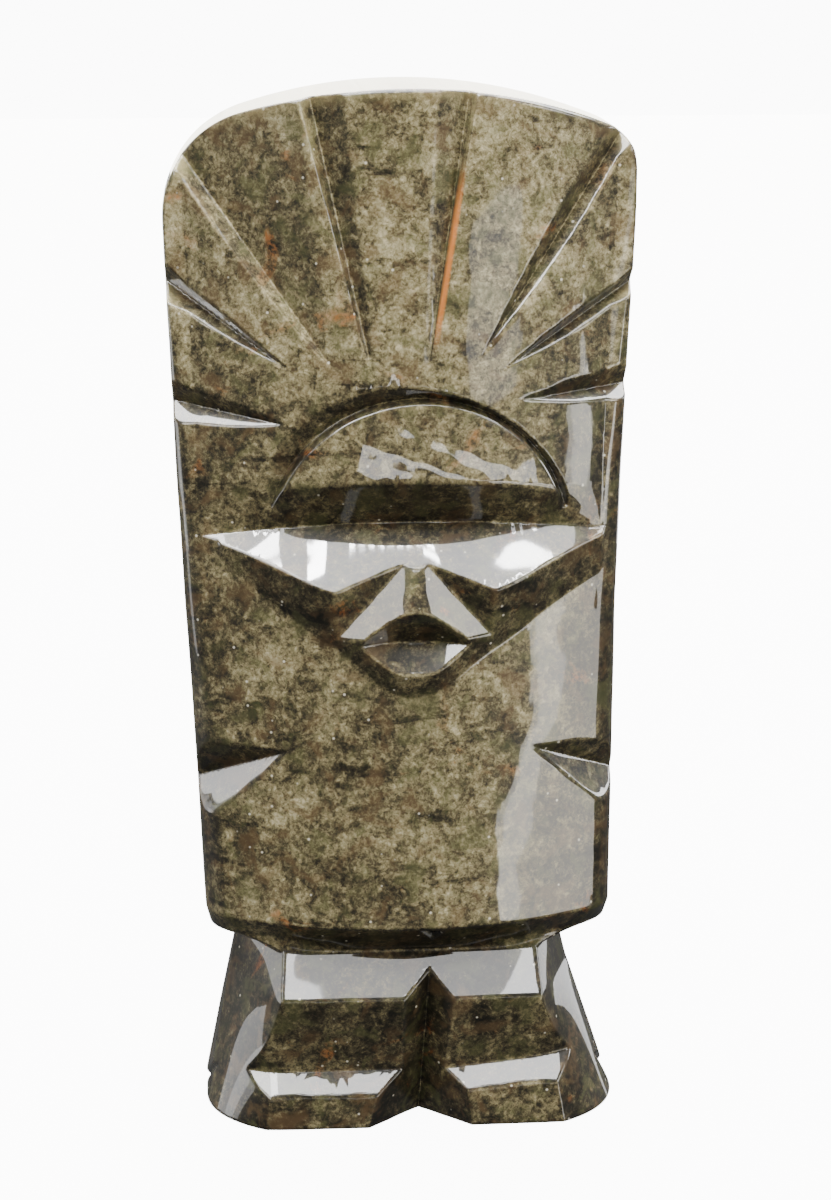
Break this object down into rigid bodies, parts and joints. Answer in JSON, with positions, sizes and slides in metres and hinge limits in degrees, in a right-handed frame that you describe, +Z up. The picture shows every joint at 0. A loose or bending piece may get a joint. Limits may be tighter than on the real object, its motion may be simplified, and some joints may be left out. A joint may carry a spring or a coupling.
{
  "type": "carved stone figure",
  "caption": "Small standing figure carved from one block of dark obsidian, with a fan headdress, wedge face, plain chest and two block feet.",
  "frame": {"origin": "centre of the outline seen from above, on the level of the underside", "axes": "+Z up through the headdress, the face looks along -Y, +X towards the right of a viewer who faces it"},
  "size_m": [0.0488, 0.0254, 0.1094],
  "materials": {
    "obsidian": "polished"
  },
  "bodies": {
    "root": {"carved_figure": "obsidian"}
  },
  "joints": []
}
